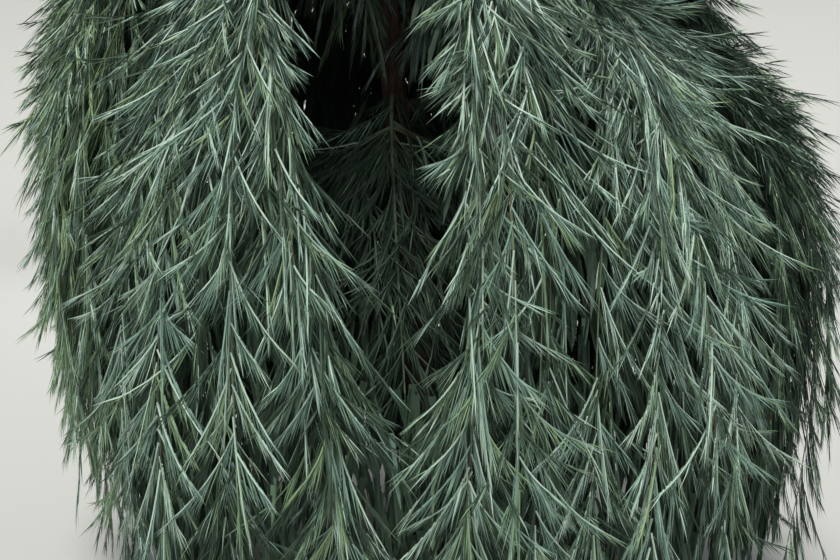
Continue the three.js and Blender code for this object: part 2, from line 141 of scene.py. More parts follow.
# Branches: shares of their curtain's height, or of half its width where they say across
BRANCH_SPREAD = 0.92  # across, of the outermost ones
SPREAD_JITTER = 0.03
STEM_SHARE = 0.1  # across, where the stem stands for a branch
MIDDLE_START = 0.3  # where the middle ones leave the stem
OUTER_START = 0.02
INNER_START = 0.28  # of the inner curtains' outer ones, so that none runs bare across the gap
START_JITTER = 0.08
BRANCH_ENDS = (0.86, 1)
WANDER = 0.14  # across, to either side
WANDER_BENDS = 2.6
PATH_RINGS = 13
LIT_INSETS = (0, 0.02)  # metres behind the curtain's surface
SHADED_INSETS = (0.065, 0.09)
EDGE_INSET = 0.045  # by which the outermost branches end deeper

# Sprays, with angles in degrees
SPRAY_SHARES = (0.03, 1)  # of a branch, between which they leave it
STEP_BACK = 0.02  # share of a limb's length, to find which way it runs
FORWARD_SHARE = 0.2  # of the sprays, which leave their branch forwards
FORWARD_LIFTS = (60, 90)  # from the curtain's surface
SIDE_LIFTS = (0, 35)
SPRAY_ANGLES = (12, 38)  # from the branch, at the spray's root
SPRAY_TURNS = (5, 52)  # further, at its tip
FORWARD_ANGLE = 0.5  # share of these angles that forward sprays have
FORWARD_TURN = 0.3
SPRAY_DROOP = 0.2
SPRAY_LENGTHS = (0.5, 1.4)  # as shares of the usual length
SPINE_STEPS = 6
SPINE_WIDTH = 0.0034
SPINE_PROUD = 0.004  # how far a spray's axis stands before its threads
SPINE_TURN = 0.4  # how far the axes' flat sides are turned at random
FACE_LIFT = 0.3  # upwards, in the way that sprays on the boughs and leader face
SHADED_FROM = 0.045  # depth behind a curtain's surface
SHADED_SHARE = 0.6  # of the usual number of threads, on sprays in the shade
SPRAY_REACH = np.array([[0], [0.5], [1], [1.3]])  # shares of a spray's axis, and on to its threads' ends
TIP_REACH = np.array([[0.6], [1], [1.3]])  # the same of its outer part
SPARE_REACH = 0.02  # of the sprays past the frame's box

# Threads
USUAL_THREADS = 40
LAST_THREAD = 0.97  # share of its spray's axis
THREAD_DROOP = (0.2, 1.4)  # of straight down, in the way of a thread
THREAD_BEND = 0.4  # of that droop again, in the way of its outer half
THREAD_AHEAD = 0.3  # of its spray's axis, there too
ROOT_SCATTER = 0.08  # at random, in the way of its inner half
TIP_SCATTER = 0.06
THREAD_LENGTHS = (0.7, 1.25)
TIP_THREADS = 0.5  # share of the usual length at a spray's tip
THREAD_TURN = 0.8
THREAD_TAPER = 0.7  # share of a strip's width that is left where its point begins
GROUND_CLEARANCE = 0.004  # of foliage that lies on the ground

# Tints
DARK_FROM = 0.02  # depth behind a curtain's surface from which sprays may get the dark tint of painted shade
DARK_TO = 0.09  # depth where all get the dark tint of painted shade
PALE_FROM = 0.7  # share of a spray's length from which some of its threads are paler
PALE_TIPS = 0.35
# Share of spray axes that take the paler tint, a painted highlight on their lit upper edge
PALE_SPINES = 0.75
STRAYS = 0.5  # share of a spray's threads that have another spray's tint

# The inner curtains: heights
INNER_TOPS = (1.02, 1.32)  # between which their foliage begins
INNER_LIGHT = (1.25, 1.02)  # heights above which the inner sprays have no painted shade, and below which all have it

# Shaded sprays on the boughs
BOUGH_SPRAYS = 32
BOUGH_SHARES = (0.2, 0.95)
BOUGH_DROOP = (0.4, 1.5)
BOUGH_FALL = 1.5
BOUGH_LENGTHS = (0.8, 1.4)

# The lining: sprays of broad blades that close a curtain from behind, most of them dark with painted shade
LINING_DEPTHS = (0.07, 0.2)
LINING_SPREAD = 1.12  # past a curtain's edges
LINING_SHARES = (0.05, 0.95)  # of the curtain's height
LINING_CROWDING = 0.7  # below 1 it is denser towards the hem
LINING_SLANT = 0.5
LINING_FALL = 0.3
LINING_THREADS = 12
LINING_LENGTH = 0.13
LINING_WIDTH = 0.015

# The leader
LEADER_SEED = 251
LEADER_SPRAYS = 26  # on the leader's arch, and as many on the tail that hangs from its tip
LEADER_TAIL = (0.09, 0.15)  # how far it runs out and hangs down
LEADER_SPREAD = 0.5
LEADER_FALL = (0.5, 0.4, 0.6)  # of a spray's tip: along the leader, outwards and down
LEADER_LENGTHS = (0.4, 0.8)

# Stage
FLOOR_RADIUS = 16
FLOOR_SIDES = 128
FLOOR_CURVE = 6
CURVE_STEPS = 24
BACKDROP_HEIGHT = 12
SKY_COLOUR = (0.93, 0.98, 1.0)
KEY_PLACE = Vector((-0.5, -3.2, 7.5))
KEY_AIM = Vector((0, 0, 1.0))
KEY_COLOUR = (1.0, 0.97, 0.92)
FILL_DISTANCE = 6
FILL_HEIGHT = 2.6
FILL_PITCH = math.radians(77)
FILL_SIZE = 3


class Tier(NamedTuple):
    """Curtains of one kind: the ridge's four points, where their boughs start, how many branches
    they have in front, threads on each spray, and lining sprays behind each metre, most of them dark with
    painted shade."""

    profile: tuple
    foot: float
    foot_step: float
    branches: int
    threads: int
    lining: int


INNER = Tier(((0.17, 1.28), (0.37, 1.31), (0.52, 0.9), (0.45, 0.33)), 0.96, 0.04, 6, 24, 240)
REAR_INNER = INNER._replace(lining=420)
SKIRT = Tier(((0.38, 1.8), (0.8, 1.8), (1.075, 1.15), (0.87, 0.09)), 1.31, 0.034, 5, 36, 260)
REAR_SKIRT = SKIRT._replace(threads=26, lining=400)
SLIM_SKIRT = SKIRT._replace(profile=((0.38, 1.8), (0.82, 1.8), (1.09, 1.15), (0.71, 0.09)))
LOW_SKIRT = SKIRT._replace(profile=((0.36, 1.6), (0.72, 1.61), (1.11, 1.2), (0.9, 0.09)), foot=1.18)
WIDE_SKIRT = SKIRT._replace(
    profile=((0.36, 1.42), (0.78, 1.44), (1.19, 1.21), (0.96, 0.09)), foot=1.01, lining=360
)
MIDDLE = Tier(((0.17, 2.39), (0.52, 2.43), (0.84, 2.16), (0.88, 1.56)), 1.96, 0.03, 6, 26, 260)
HIGH_MIDDLE = MIDDLE._replace(profile=((0.17, 2.39), (0.52, 2.43), (0.8, 2.2), (0.85, 1.6)))
UPPER = Tier(((0.075, 3.04), (0.34, 3.08), (0.63, 2.82), (0.7, 2.2)), 2.6, 0.06, 6, 26, 270)
TOP = Tier(((0.05, 3.29), (0.18, 3.33), (0.29, 3.23), (0.3, 2.99)), 3.09, 0.015, 6, 26, 60)


class Curtain(NamedTuple):
    """One curtain. Its angles are bearings round the trunk, from 0 at the front to 90 at the right.
    High up, its two halves have only the narrow shares of their width."""

    name: str
    tier: Tier
    left: float
    crest: float
    hem: float
    right: float
    reach: float
    seed: int
    narrow: tuple = (1, 1)


CURTAINS = (
    Curtain("skirt_far_left", SLIM_SKIRT, -68, -54, -57, -44, 1, 11),
    Curtain("skirt_left", SKIRT, -44, -22, -18, 2.6, 1, 23, (0.8, 0.12)),
    Curtain("skirt_right_inner", SKIRT, 2.6, 10, 14, 22, 1, 37),
    Curtain("skirt_right_outer", LOW_SKIRT, 22, 28, 42, 58, 1, 41, (0.5, 1)),
    Curtain("skirt_right_side", WIDE_SKIRT, 58, 66, 78, 92, 1, 59),
    Curtain("skirt_right_back", REAR_SKIRT, 92, 108, 111, 128, 1.05, 61),
    Curtain("skirt_rear_right", REAR_SKIRT, 128, 148, 146, 165, 1, 73),
    Curtain("skirt_rear", REAR_SKIRT, 165, 182, 185, 203, 1.02, 83),
    Curtain("skirt_rear_left", REAR_SKIRT, 203, 228, 225, 248, 0.98, 89),
    Curtain("skirt_left_side", SLIM_SKIRT, 248, 268, 271, 292, 1, 97),
    Curtain("middle_front_left", MIDDLE, -70, -32, -36, 0, 1, 113),
    Curtain("middle_front_right", MIDDLE, 0, 34, 37, 72, 1.02, 127),
    Curtain("middle_right", HIGH_MIDDLE, 72, 106, 110, 146, 0.98, 139),
    Curtain("middle_rear", MIDDLE, 146, 184, 182, 218, 1, 149),
    Curtain("middle_left", MIDDLE, 218, 252, 254, 290, 1.01, 167),
    Curtain("upper_front", UPPER, -56, 3, -4, 58, 1, 199),
    Curtain("upper_rear_right", UPPER, 58, 116, 120, 180, 1.03, 191),
    Curtain("upper_rear_left", UPPER, 180, 238, 244, 304, 0.98, 211),
    Curtain("top_left", TOP, -150, -60, -60, 30, 1, 251),
    Curtain("top_right", TOP, 30, 120, 120, 210, 1, 257),
    Curtain("inner_front", INNER, -90, -8, 2, 90, 1, 223),
    Curtain("inner_rear", REAR_INNER, 90, 172, 184, 270, 1, 229),
)

UP = np.array([0.0, 0.0, 1.0])
DOWN = -UP
GOLDEN = 0.618034  # steps by this share spread out evenly
NO_TWIGS_WAY = np.array([0.31, 1, 0.13])  # a way that no twig runs


def lerp(low, high, share):
    return low + (high - low) * share


def smoothstep(value, low, high):
    share = np.clip((value - low) / (high - low), 0, 1)
    return share * share * (3 - 2 * share)


def unit(vectors):
    return vectors / np.linalg.norm(vectors, axis=-1, keepdims=True)


def first_random(seed):
    """The first of the frame's own random numbers for a seed."""
    return (seed * SEED_FACTOR * RANDOM_FACTOR) % RANDOM_RANGE / RANDOM_RANGE


def outward(bearing):
    """Unit vectors that point away from the trunk."""
    angle = np.radians(bearing)
    return np.stack([np.sin(angle), -np.cos(angle), np.zeros_like(angle)], axis=-1)


# The rules of the frame
def trunk_centre(share):
    nod = max(0.0, (share - NOD_START) / (1 - NOD_START))
    return np.array([
        TRUNK_SWAY[0] * math.sin(SWAY_BENDS[0] * math.pi * share) + NOD_REACH * nod**2,
        TRUNK_SWAY[1] * (math.cos(SWAY_BENDS[1] * math.pi * share) - 1),
        TRUNK_HEIGHT * share - NOD_DROP * nod**2,
    ])


def trunk_radius(share):
    return lerp(TRUNK_RADIUS, TRUNK_TIP_RADIUS, max(0.0, share) ** TRUNK_TAPER)


def ridge(curtain, t):
    """Distance out and height along a curtain's ridge, and the unit way it runs there."""
    out, up = np.array(curtain.tier.profile).T
    out = out * lerp(1, curtain.reach, POINT_SHARES)
    up = up + HEM_LIFT * first_random(curtain.seed) * POINT_SHARES**3
    points = np.stack([out, up], axis=-1)
    t = np.asarray(t, float)[..., None]
    s = 1 - t
    place = s**3 * points[0] + 3 * s * s * t * points[1] + 3 * s * t * t * points[2] + t**3 * points[3]
    steps = np.diff(points, axis=0)
    return place, unit(s * s * steps[0] + 2 * s * t * steps[1] + t * t * steps[2])


def bearing_of(curtain, t, across):
    """The bearing of a place on a curtain, from across -1 at its left edge to 1 at its right."""
    middle = lerp(curtain.crest, curtain.hem, t)
    widening = smoothstep(t, *WIDENS)
    left = (middle - curtain.left) * lerp(curtain.narrow[0], 1, widening)
    right = (curtain.right - middle) * lerp(curtain.narrow[1], 1, widening)
    return middle + across * np.where(across < 0, left, right)


def curtain_point(curtain, t, across, inset):
    """Places on a curtain, t from 0 at its crest to 1 at its hem, inset behind its surface."""
    place, way = ridge(curtain, t)
    folded = across * across
    out = place[..., 0] - FOLD_DEPTH * folded * t + inset * way[..., 1]
    up = place[..., 1] - SIDE_SAG * folded * (1 - t) - inset * way[..., 0]
    return outward(bearing_of(curtain, t, across)) * out[..., None] + up[..., None] * UP


def curtain_face(curtain, t, across):
    """The unit vector that looks away from a curtain's surface."""
    _, way = ridge(curtain, t)
    return outward(bearing_of(curtain, t, across)) * -way[..., 1:] + way[..., :1] * UP


def bough_path(curtain, index):
    """The two ends of a curtain's bough. Each starts three steps above the last, in a round of seven."""
    height = curtain.tier.foot + curtain.tier.foot_step * ((index * 3) % 7)
    foot = trunk_centre(height / TRUNK_HEIGHT)
    return foot, curtain_point(curtain, np.array(0.0), np.array(0.0), STEM_INSET)


# Settings
class BarkSettings(bpy.types.PropertyGroup):
    trunk_sides: IntProperty(
        name="Trunk sides", description="Sides of the trunk before it is subdivided", default=20, min=8
    )
    bough_sides: IntProperty(
        name="Bough sides", description="Sides of a bough before it is subdivided", default=8, min=5
    )
    relief: FloatProperty(
        name="Relief", description="Depth of the bark's furrows", default=0.004, unit="LENGTH"
    )
    furrow_width: FloatProperty(
        name="Furrow width", description="Distance between two furrows", default=0.02, unit="LENGTH"
    )
    ridge_colour: FloatVectorProperty(
        name="Ridges", description="Colour of the bark's ridges", subtype="COLOR", default=(0.15, 0.1, 0.08)
    )
    furrow_colour: FloatVectorProperty(
        name="Furrows", description="Colour deep in the bark", subtype="COLOR", default=(0.04, 0.025, 0.02)
    )
    twig_colour: FloatVectorProperty(
        name="Twigs", description="Colour of young twigs", subtype="COLOR", default=(0.085, 0.07, 0.045)
    )


class FoliageSettings(bpy.types.PropertyGroup):
    spray_spacing: FloatProperty(
        name="Spray spacing", description="Distance between sprays on a branch", default=0.02, unit="LENGTH"
    )
    spray_length: FloatProperty(
        name="Spray length", description="Usual length of a spray's axis", default=0.18, unit="LENGTH"
    )
    thread_length: FloatProperty(
        name="Thread length", description="Usual length of a thread", default=0.1, unit="LENGTH"
    )
    thread_width: FloatProperty(
        name="Thread width",
        description="Usual width where a spray has 40 threads",
        default=0.0023,
        unit="LENGTH",
    )
    bloom: FloatVectorProperty(
        name="Bloom", description="Blue-green of most sprays", subtype="COLOR", default=(0.165, 0.27, 0.222)
    )
    sage: FloatVectorProperty(
        name="Sage", description="Greener sprays", subtype="COLOR", default=(0.17, 0.27, 0.155)
    )
    # Also the paler tint on most spray axes, there a painted highlight, and on some threads near spray tips
    silver: FloatVectorProperty(
        name="Silver", description="Palest sprays", subtype="COLOR", default=(0.345, 0.465, 0.39)
    )
    young: FloatVectorProperty(
        name="Young", description="Young yellow-green sprays", subtype="COLOR", default=(0.21, 0.31, 0.165)
    )
    # Painted shade: a dark tint that stands in for shade on sprays deep in the crown and in its darker parts
    painted_shade: FloatVectorProperty(
        name="Deep", description="Sprays deep in the crown", subtype="COLOR", default=(0.038, 0.067, 0.044)
    )


class StageSettings(bpy.types.PropertyGroup):
    floor_colour: FloatVectorProperty(
        name="Floor", description="Colour of the floor", subtype="COLOR", default=(0.41, 0.42, 0.41)
    )
    key_strength: FloatProperty(
        name="Key light", description="Strength of the large soft light", default=4.2, min=0
    )
    key_softness: FloatProperty(
        name="Softness",
        description="Angle that the large soft light spreads over",
        default=math.radians(20),
        subtype="ANGLE",
    )
    front_fill: FloatProperty(
        name="Front fill", description="Power of the faint light from the front", default=50, unit="POWER"
    )
    rear_fill: FloatProperty(
        name="Rear fill", description="Power of the faint light from behind", default=80, unit="POWER"
    )
    sky_strength: FloatProperty(
        name="Sky", description="Strength of the light from all round", default=0.42, min=0
    )
    camera_distance: FloatProperty(
        name="Camera distance", description="From the trunk's axis", default=3.0, unit="LENGTH"
    )
    camera_height: FloatProperty(
        name="Camera height", description="Above the ground", default=1.2, unit="LENGTH"
    )
    camera_pitch: FloatProperty(
        name="Camera pitch", description="How far it looks down", default=math.radians(8), subtype="ANGLE"
    )
    camera_aside: FloatProperty(
        name="Camera aside", description="To the right of the trunk", default=0.0375, unit="LENGTH"
    )
    lens: FloatProperty(
        name="Lens", description="Focal length in millimetres", default=51.4, unit="CAMERA"
    )


# Materials
def new_material(name, colour, roughness):
    material = bpy.data.materials.new(name)
    material.use_nodes = True
    shader = material.node_tree.nodes["Principled BSDF"]
    shader.inputs["Base Color"].default_value = (*colour, 1)
    shader.inputs["Roughness"].default_value = roughness
    shader.inputs["Specular IOR Level"].default_value = 0.25
    return material


def two_tones(material, low, high, lengthwise, scale, detail, roughness):
    """Deals out two tones, each given as a level and a colour, by a noise that can be drawn out
    lengthwise. Returns the noise."""
    nodes = material.node_tree.nodes
    links = material.node_tree.links
    place = nodes.new("ShaderNodeTexCoord")
    stretch = nodes.new("ShaderNodeMapping")
    stretch.inputs["Scale"].default_value = (1, 1, lengthwise)
    links.new(place.outputs["Object"], stretch.inputs["Vector"])
    noise = nodes.new("ShaderNodeTexNoise")
    noise.inputs["Scale"].default_value = scale
    noise.inputs["Detail"].default_value = detail
    noise.inputs["Roughness"].default_value = roughness
    links.new(stretch.outputs["Vector"], noise.inputs["Vector"])
    shades = nodes.new("ShaderNodeValToRGB")
    for element, (level, colour) in zip(shades.color_ramp.elements, (low, high)):
        element.position = level
        element.color = (*colour, 1)
    links.new(noise.outputs["Fac"], shades.inputs["Fac"])
    links.new(shades.outputs["Color"], nodes["Principled BSDF"].inputs["Base Color"])
    return noise


def bark_material(settings):
    """Reddish-brown bark with long furrows and paler ridges."""
    material = new_material("furrowed_bark", settings.ridge_colour, 0.95)
    low = (0.36, settings.furrow_colour)
    high = (0.66, settings.ridge_colour)
    furrows = two_tones(material, low, high, lengthwise=0.16, scale=70, detail=6, roughness=0.65)
    nodes = material.node_tree.nodes
    links = material.node_tree.links
    bump = nodes.new("ShaderNodeBump")
    bump.inputs["Strength"].default_value = 0.7
    bump.inputs["Distance"].default_value = 0.003
    links.new(furrows.outputs["Fac"], bump.inputs["Height"])
    links.new(bump.outputs["Normal"], nodes["Principled BSDF"].inputs["Normal"])
    return material


def twig_material(settings):
    """Smooth young bark, brown with greener stretches."""
    material = new_material("young_twig", settings.twig_colour, 0.8)
    low = (0.34, settings.twig_colour)
    two_tones(material, low, (0.5, GREEN_BARK), lengthwise=1, scale=14, detail=2, roughness=0.5)
    return material


# The last tint is painted shade
TINTS = ("bloom", "sage", "silver", "young", "painted_shade")
PALER = np.array([2, 2, 2, 3, 4])  # the tint that each one has at its pale places


def tint_materials(settings):
    """One plain material for each tint, made once and shared by all foliage."""
    made = []
    for name in TINTS:
        found = bpy.data.materials.get(name + "_sprays")
        made.append(found or new_material(name + "_sprays", getattr(settings, name), 0.55))
    return made


def shared(name, make, settings):
    """The material of this name, which is made the first time."""
    return bpy.data.materials.get(name) or make(settings)


# Limbs, modelled in edit mode
def model_limb(name, centres, radii, sides):
    """A closed tapering limb whose path lies in a plane of constant Y: a disc, extruded ring by ring."""
    steps = np.diff(centres, axis=0)
    ways = np.concatenate([steps[:1], steps[:-1] + steps[1:], steps[-1:]])
    tilts = np.arctan2(ways[:, 0], ways[:, 2])
    bpy.ops.object.select_all(action="DESELECT")
    bpy.ops.mesh.primitive_circle_add(
        vertices=sides, radius=radii[0], fill_type="NGON", location=centres[0], rotation=(0, tilts[0], 0)
    )
    limb = bpy.context.object
    limb.name = name
    bpy.ops.object.transform_apply(location=True, rotation=True, scale=True)
    bpy.ops.object.mode_set(mode="EDIT")
    bpy.ops.mesh.select_all(action="SELECT")
    for i in range(1, len(centres)):
        bpy.ops.mesh.extrude_region_move(TRANSFORM_OT_translate={"value": tuple(steps[i - 1])})
        if abs(tilts[i] - tilts[i - 1]) > SMALLEST_TURN:
            bpy.ops.transform.rotate(
                value=tilts[i - 1] - tilts[i], orient_axis="Y", center_override=tuple(centres[i])
            )
        share = radii[i] / radii[i - 1]
        bpy.ops.transform.resize(value=(share, share, share), center_override=tuple(centres[i]))
    bpy.ops.mesh.select_all(action="SELECT")
    bpy.ops.mesh.normals_make_consistent(inside=False)
    bpy.ops.object.mode_set(mode="OBJECT")
    return limb


def roughen(limb, settings):
    """Subdivides a limb twice and presses long furrows into it."""
    bpy.ops.object.select_all(action="DESELECT")
    limb.select_set(True)
    bpy.context.view_layer.objects.active = limb
    round_it = limb.modifiers.new("round", "SUBSURF")
    round_it.levels = 2
    round_it.render_levels = 2
    bpy.ops.object.modifier_apply(modifier=round_it.name)
    furrows = bpy.data.textures.get("furrows") or bpy.data.textures.new("furrows", "CLOUDS")
    furrows.noise_scale = 1
    furrows.noise_depth = 3
    stretch = bpy.data.objects.new("stretch", None)
    stretch.scale = (settings.furrow_width, settings.furrow_width, settings.furrow_width * FURROW_STRETCH)
    bpy.context.scene.collection.objects.link(stretch)
    press = limb.modifiers.new("furrows", "DISPLACE")
    press.texture = furrows
    press.texture_coords = "OBJECT"
    press.texture_coords_object = stretch
    press.strength = settings.relief * 2  # half of it inwards and half outwards
    bpy.context.view_layer.update()
    bpy.ops.object.modifier_apply(modifier=press.name)
    bpy.data.objects.remove(stretch)
    bpy.ops.object.shade_smooth_by_angle(angle=SMOOTH_BELOW)


def finish_piece(piece, nodes):
    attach(piece, "root")
    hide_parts(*nodes)


class CYPRESS_OT_trunk(bpy.types.Operator):
    """Model the trunk with its flare, roots, furrowed bark and leaning leader"""

    bl_idname = "cypress.trunk"
    bl_label = "Trunk"

    def execute(self, context):
        settings = context.scene.cypress_bark
        foot = np.array(FOOT_RINGS) / TRUNK_HEIGHT
        shares = np.concatenate([foot, np.linspace(*SHAFT_RINGS), np.linspace(*NOD_RINGS)])
        centres = np.array([trunk_centre(share) for share in shares])
        flare = FLARE_WIDTH * np.exp(-np.maximum(0, shares * TRUNK_HEIGHT) / FLARE_HEIGHT)
        radii = np.array([trunk_radius(share) for share in shares]) + flare * FLARE_VALLEY
        trunk = model_limb("trunk_bark", centres, radii, settings.trunk_sides)
        self.pull_roots(trunk)
        roughen(trunk, settings)
        self.cut_foot()
        trunk.data.materials.append(shared("furrowed_bark", bark_material, settings))
        finish_piece(trunk, ["trunk"])
        return {"FINISHED"}

    def pull_roots(self, trunk):
        """Draws the foot out along each root."""
        for root in range(FLARE_ROOTS):
            angle = FIRST_ROOT + root * math.tau / FLARE_ROOTS
            way = Vector((math.cos(angle), math.sin(angle), 0))
            bpy.ops.object.mode_set(mode="EDIT")
            bpy.ops.mesh.select_all(action="DESELECT")
            bpy.ops.object.mode_set(mode="OBJECT")
            for vertex in trunk.data.vertices:
                flat = vertex.co.xy.to_3d()
                on_root = flat.length > 0 and flat.angle(way) < ROOT_HALF_WIDTH
                vertex.select = on_root and vertex.co.z < ROOT_HEIGHT
            bpy.ops.object.mode_set(mode="EDIT")
            bpy.ops.transform.translate(
                value=way * FLARE_WIDTH * (1 - FLARE_VALLEY),
                use_proportional_edit=True,
                proportional_edit_falloff="SMOOTH",
                proportional_size=ROOT_HEIGHT,
            )
            bpy.ops.object.mode_set(mode="OBJECT")

    def cut_foot(self):
        """Cuts the foot level at the ground."""
        bpy.ops.object.mode_set(mode="EDIT")
        bpy.ops.mesh.select_all(action="SELECT")
        bpy.ops.mesh.bisect(
            plane_co=(0, 0, 0), plane_no=(0, 0, 1), clear_inner=True, use_fill=True, threshold=0
        )
        bpy.ops.object.mode_set(mode="OBJECT")


class CYPRESS_OT_boughs(bpy.types.Operator):
    """Model the boughs, which climb from the trunk and level off where they meet their curtains"""

    bl_idname = "cypress.boughs"
    bl_label = "Boughs"

    def execute(self, context):
        settings = context.scene.cypress_bark
        for title, tiers in TIERS.items():
            limbs = []
            names = []
            for index, curtain in enumerate(CURTAINS):
                if curtain.tier in tiers:
                    limbs.append(self.model_bough(curtain, index, settings))
                    names.append("bough_" + curtain.name)
            bpy.ops.object.select_all(action="DESELECT")
            for limb in limbs:
                limb.select_set(True)
            bpy.context.view_layer.objects.active = limbs[0]
            bpy.ops.object.join()
            boughs = bpy.context.object
            boughs.name = title + "_boughs"
            boughs.data.materials.append(shared("furrowed_bark", bark_material, settings))
            finish_piece(boughs, names)
        return {"FINISHED"}

    def model_bough(self, curtain, index, settings):
        foot, tip = bough_path(curtain, index)
        shares = np.linspace(0, 1, BOUGH_RINGS)
        run = math.hypot(tip[0] - foot[0], tip[1] - foot[1])
        centres = np.stack(
            [run * shares, 0 * shares, lerp(foot[2], tip[2], np.sin(math.pi / 2 * shares))], axis=-1
        )
        root = BOUGH_ROOT_SHARE * trunk_radius(foot[2] / TRUNK_HEIGHT) + BOUGH_ROOT_COLLAR
        radii = lerp(max(root, BOUGH_TIP_RADIUS), BOUGH_TIP_RADIUS, shares)
        bough = model_limb("bough", centres, radii, settings.bough_sides)
        bough.location = (foot[0], foot[1], 0)
        bough.rotation_euler = (0, 0, math.atan2(tip[1] - foot[1], tip[0] - foot[0]))
        bpy.ops.object.transform_apply(location=True, rotation=True, scale=True)
        roughen(bough, settings)
        return bough


# Twigs and foliage, made as joined meshes from arrays
def joined_mesh(name, points, corners, sizes, tints, materials):
    """One object from arrays: points, each face's corners in a row, its size and its material."""
    mesh = bpy.data.meshes.new(name)
    mesh.vertices.add(len(points))
    mesh.vertices.foreach_set("co", points.astype(np.float32).ravel())
    mesh.loops.add(len(corners))
    mesh.loops.foreach_set("vertex_index", corners.astype(np.int32))
    mesh.polygons.add(len(sizes))
    starts = np.concatenate([[0], np.cumsum(sizes)[:-1]])
    mesh.polygons.foreach_set("loop_start", starts.astype(np.int32))
    for material in materials:
        mesh.materials.append(material)
    mesh.polygons.foreach_set("material_index", tints.astype(np.int32))
    mesh.update(calc_edges=True)
    mesh.validate()
    piece = bpy.data.objects.new(name, mesh)
    bpy.context.scene.collection.objects.link(piece)
    return piece


def tubes(paths, radii, sides):
    """Open tapering tubes along paths, as points and the corners of four-cornered faces."""
    count, rings = paths.shape[:2]
    ways = unit(np.gradient(paths, axis=1))
    across = unit(np.cross(NO_TWIGS_WAY, ways))
    beside = np.cross(ways, across)
    turn = np.arange(sides) * math.tau / sides
    circle = across[:, :, None] * np.cos(turn)[:, None] + beside[:, :, None] * np.sin(turn)[:, None]
    points = paths[:, :, None] + circle * radii[..., None, None]
    index = np.arange(count * rings * sides).reshape(count, rings, sides)
    low = index[:, :-1]
    high = index[:, 1:]
    corners = np.stack([low, np.roll(low, -1, 2), np.roll(high, -1, 2), high], axis=-1)
    return points.reshape(-1, 3), corners.reshape(-1, 4)


def strips(middles, across, width, tints):
    """Narrow strips along rows of points, each ending in a point, as (points, tints)."""
    ways = np.gradient(middles, axis=1)[:, :-1]
    wide = unit(np.cross(ways, across[:, None])) * width[:, None, None] / 2
    wide = wide * lerp(1, THREAD_TAPER, np.linspace(0, 1, wide.shape[1]))[:, None]
    edges = np.stack([middles[:, :-1] - wide, middles[:, :-1] + wide], axis=2)
    points = np.concatenate([edges.reshape(len(edges), -1, 3), middles[:, -1:]], axis=1)
    points[..., 2] = np.maximum(points[..., 2], GROUND_CLEARANCE)
    return points, tints


def spray_axis(sprays, share):
    """Places and unit ways at some shares of each spray's axis."""
    way, fall = (sprays[key][:, None] for key in ("way", "fall"))
    run = share * way + share**2 / 2 * (fall - way)
    return sprays["root"][:, None] + sprays["length"][:, None, None] * run, unit(way + share * (fall - way))


def spines_of(rng, sprays, width):
    """The sprays' axes: the upper edge that each spray's threads hang from, most of them tinted paler as a
    painted highlight.
    """
    share = np.linspace(0, 1, SPINE_STEPS + 1)[:, None]
    middles, _ = spray_axis(sprays, share)
    count = len(middles)
    tints = sprays["tint"].copy()
    # Painted highlight: most axes take the paler tint
    pale = rng.random(count) < PALE_SPINES
    tints[pale] = PALER[tints[pale]]
    looks = sprays["face"] + rng.normal(0, SPINE_TURN, (count, 3))
    return strips(middles + SPINE_PROUD * sprays["face"][:, None], looks, np.full(count, width), tints)


def threads_of(rng, sprays, count, length, width):
    """The threads of some sprays, which hang from their axes and bend once."""
    shape = (len(sprays["root"]), count)
    share = lerp(0.0, LAST_THREAD, (np.arange(count) + rng.random(shape)) / count)[..., None]
    root, axis = spray_axis(sprays, share)
    droop = rng.uniform(*THREAD_DROOP, share.shape) * (1 - share)
    start = unit(axis + droop * DOWN + ROOT_SCATTER * rng.normal(0, 1, root.shape))
    bent = start + THREAD_BEND * droop * DOWN + THREAD_AHEAD * axis
    end = unit(bent + TIP_SCATTER * rng.normal(0, 1, root.shape))
    size = length * rng.uniform(*THREAD_LENGTHS, share.shape) * lerp(1, TIP_THREADS, share)
    middle = root + start * size / 2
    middles = np.stack([root, middle, middle + end * size / 2], axis=2).reshape(-1, 3, 3)
    looks = (sprays["face"][:, None] + rng.normal(0, THREAD_TURN, root.shape)).reshape(-1, 3)
    tints = np.repeat(sprays["tint"], count)
    strays = rng.random(len(tints)) < STRAYS
    tints[strays] = rng.permutation(tints)[strays]
    pale = (share.ravel() > PALE_FROM) & (rng.random(len(tints)) < PALE_TIPS)
    tints[pale] = PALER[tints[pale]]
    return strips(middles, looks, np.full(len(tints), width), tints)


def comb(rng, sprays, count, settings):
    """The axes and threads of some sprays. Where the threads are fewer, they are wider."""
    width = settings.thread_width * math.sqrt(USUAL_THREADS / count)
    return spines_of(rng, sprays, SPINE_WIDTH), threads_of(rng, sprays, count, settings.thread_length, width)


def some_of(sprays, keep):
    return {key: value[keep] for key, value in sprays.items()}


def foliage_piece(name, made, materials):
    """Joins strips of several lengths, each as (points, tints), into one object."""
    points, corners, sizes, tints = [], [], [], []
    total = 0
    for some, some_tints in made:
        count, size = some.shape[:2]
        first = total + size * np.arange(count)[:, None]
        steps = 2 * np.arange((size - 1) // 2 - 1)[:, None]
        quads = (steps + np.array([0, 1, 3, 2])).ravel()
        corners.append((first + np.concatenate([quads, [size - 3, size - 2, size - 1]])).ravel())
        sizes.append(np.tile([4] * len(steps) + [3], count))
        tints.append(np.repeat(some_tints, len(steps) + 1))
        points.append(some.reshape(-1, 3))
        total += count * size
    joined = (np.concatenate(part) for part in (points, corners, sizes, tints))
    return joined_mesh(name, *joined, materials)


class Axis(NamedTuple):
    """A twig along a curtain: where it starts and ends down, across and behind the curtain."""

    start: float
    end: float
    start_across: float
    end_across: float
    start_inset: float
    end_inset: float
    wander: float = 0

    def place(self, share):
        t = lerp(self.start, self.end, share)
        across = lerp(self.start_across, self.end_across, 1 - (1 - share) ** 2)
        across = across + self.wander * share * np.sin(WANDER_BENDS * np.pi * share)
        return t, across, lerp(self.start_inset, self.end_inset, share**2)


